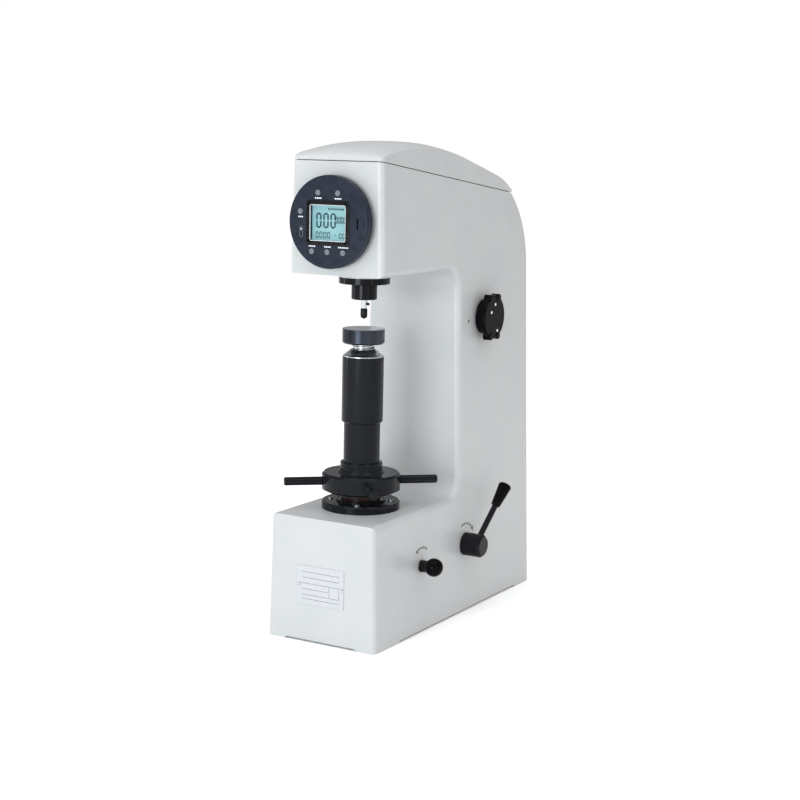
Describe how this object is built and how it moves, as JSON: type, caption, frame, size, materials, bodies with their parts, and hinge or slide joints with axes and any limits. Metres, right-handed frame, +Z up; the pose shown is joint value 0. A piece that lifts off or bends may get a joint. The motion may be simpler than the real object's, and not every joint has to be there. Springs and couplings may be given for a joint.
{
  "type": "hardness tester",
  "caption": "Bench Rockwell hardness tester: C-shaped casting, digital gauge, indenter, screw-raised anvil with handwheel, weight-loaded lever and side controls.",
  "frame": {"origin": "on the common axis of the elevating screw and the indenter, at bench level", "axes": "+Z up along the screw axis, -Y towards the operator (gauge side), +X to the operator's right (control side)"},
  "size_m": [0.2152, 0.4789, 0.6845],
  "materials": {
    "white_paint": "satin white paint over cast iron",
    "zinc_screws": "bright zinc",
    "plate_aluminium": "pale satin",
    "black_steel": "turned and blackened, satin",
    "screw_black": "black oxide",
    "bronze": "turned bronze",
    "gauge_plastic": "fine-grained dark moulding",
    "lcd": "lit liquid-crystal display",
    "clear_window": "clear",
    "led_white": "diffusing",
    "button_grey": "satin",
    "bearing_steel": "ground",
    "anvil_steel": "hardened, ground top",
    "cast_grey": "machined casting",
    "black_chrome": "black, polished",
    "grip_plastic": "glossy moulding"
  },
  "bodies": {
    "frame": {"frame_casting": "white_paint", "top_cover": "white_paint", "rear_cover": "white_paint", "cover_screws": "zinc_screws", "name_plate": "plate_aluminium", "name_plate_rivets": "zinc_screws", "spindle_flange": "black_steel", "spindle_bush": "bronze", "flange_screws": "screw_black", "gauge_body": "gauge_plastic", "gauge_faceplate": "gauge_plastic", "gauge_display": "lcd", "gauge_window": "clear_window", "status_led": "led_white", "guide_flange": "black_steel", "thrust_bearing": "black_steel", "guide_bush": "bronze", "fulcrum_bracket": "cast_grey", "dashpot_cylinder": "cast_grey", "load_bush": "bronze", "trigger_bush": "bronze", "selector_bush": "bronze", "latch_guide": "bearing_steel"},
    "handwheel_body": {"handwheel": "black_steel", "handwheel_rods": "black_steel", "lower_sleeve": "black_steel"},
    "screw_body": {"elevating_screw": "bearing_steel", "screw_ring": "bearing_steel", "upper_sleeve": "black_steel", "anvil": "anvil_steel"},
    "spindle_body": {"spindle": "bearing_steel", "indenter": "black_steel", "indenter_screw": "screw_black"},
    "lever_body": {"main_lever": "cast_grey", "knife_edges": "bearing_steel"},
    "weight_body": {"weight_hanger": "bearing_steel", "weight_lower": "cast_grey", "weight_middle": "cast_grey", "weight_upper": "cast_grey"},
    "piston_body": {"dashpot_piston": "cast_grey", "piston_rod": "bearing_steel"},
    "load_handle_body": {"load_shaft": "bearing_steel", "load_cam": "bearing_steel", "load_hub": "black_chrome", "load_rod": "black_chrome", "load_grip": "grip_plastic"},
    "trigger_body": {"trigger_shaft": "bearing_steel", "trigger_arm": "bearing_steel", "trigger_lever": "black_chrome", "trigger_ball": "grip_plastic"},
    "latch_body": {"latch_bar": "bearing_steel"},
    "selector_body": {"selector_knob": "grip_plastic", "selector_shaft": "bearing_steel", "selector_cam": "bearing_steel"},
    "button_1_body": {"gauge_button_1": "button_grey"},
    "button_2_body": {"gauge_button_2": "button_grey"},
    "button_3_body": {"gauge_button_3": "button_grey"},
    "button_4_body": {"gauge_button_4": "button_grey"},
    "button_5_body": {"gauge_button_5": "button_grey"},
    "button_6_body": {"gauge_button_6": "button_grey"}
  },
  "joints": [
    {"name": "screw_lift", "type": "slide", "parent": "frame", "child": "screw_body", "axis": [0, 0, 1], "range_m": [-0.045, 0.012]},
    {"name": "handwheel_turn", "type": "hinge", "parent": "frame", "child": "handwheel_body", "pos_m": [0, 0, 0.2125], "axis": [0, 0, 1], "range_deg": [-720.5, 2700.5]},
    {"name": "weight_drop", "type": "slide", "parent": "frame", "child": "weight_body", "axis": [0, 0, -1], "range_m": [0, 0.0125]},
    {"name": "load_handle_turn", "type": "hinge", "parent": "frame", "child": "load_handle_body", "pos_m": [0, 0.157, 0.102], "axis": [1, 0, 0], "range_deg": [0, 90.15]},
    {"name": "lever_tilt", "type": "hinge", "parent": "frame", "child": "lever_body", "pos_m": [0, -0.012, 0.582], "axis": [-1, 0, 0], "range_deg": [0, 2.39]},
    {"name": "spindle_drop", "type": "slide", "parent": "frame", "child": "spindle_body", "axis": [0, 0, -1], "range_m": [0, 0.00051], "stiffness_N_per_m": 2000, "springref_m": -0.002},
    {"name": "piston_drop", "type": "slide", "parent": "frame", "child": "piston_body", "axis": [0, 0, -1], "range_m": [0, 0.00823]},
    {"name": "trigger_press", "type": "hinge", "parent": "frame", "child": "trigger_body", "pos_m": [0, 0.028, 0.096], "axis": [1, 0, 0], "range_deg": [0, 25.05], "stiffness_Nm_per_rad": 0.6, "springref_deg": -20.05},
    {"name": "latch_slide", "type": "slide", "parent": "frame", "child": "latch_body", "axis": [0, -1, 0], "range_m": [0, 0.0096]},
    {"name": "selector_turn", "type": "hinge", "parent": "frame", "child": "selector_body", "pos_m": [0, 0.21, 0.433], "axis": [1, 0, 0], "range_deg": [-90, 90]},
    {"name": "button_1_press", "type": "slide", "parent": "frame", "child": "button_1_body", "axis": [0, 1, 0], "range_m": [0, 0.001], "stiffness_N_per_m": 900, "springref_m": -0.0006},
    {"name": "button_2_press", "type": "slide", "parent": "frame", "child": "button_2_body", "axis": [0, 1, 0], "range_m": [0, 0.001], "stiffness_N_per_m": 900, "springref_m": -0.0006},
    {"name": "button_3_press", "type": "slide", "parent": "frame", "child": "button_3_body", "axis": [0, 1, 0], "range_m": [0, 0.001], "stiffness_N_per_m": 900, "springref_m": -0.0006},
    {"name": "button_4_press", "type": "slide", "parent": "frame", "child": "button_4_body", "axis": [0, 1, 0], "range_m": [0, 0.001], "stiffness_N_per_m": 900, "springref_m": -0.0006},
    {"name": "button_5_press", "type": "slide", "parent": "frame", "child": "button_5_body", "axis": [0, 1, 0], "range_m": [0, 0.001], "stiffness_N_per_m": 900, "springref_m": -0.0006},
    {"name": "button_6_press", "type": "slide", "parent": "frame", "child": "button_6_body", "axis": [0, 1, 0], "range_m": [0, 0.001], "stiffness_N_per_m": 900, "springref_m": -0.0006}
  ],
  "couplings": [
    {"joint": "handwheel_turn", "follows": "screw_lift", "rad_per_m": -1047.2},
    {"joint": "load_handle_turn", "follows": "weight_drop", "rad_per_m": 125.66},
    {"joint": "lever_tilt", "follows": "weight_drop", "rad_per_m": 3.3333},
    {"joint": "spindle_drop", "follows": "weight_drop", "ratio": 0.04},
    {"joint": "piston_drop", "follows": "weight_drop", "ratio": 0.65667},
    {"joint": "trigger_press", "follows": "latch_slide", "rad_per_m": 45.455}
  ]
}
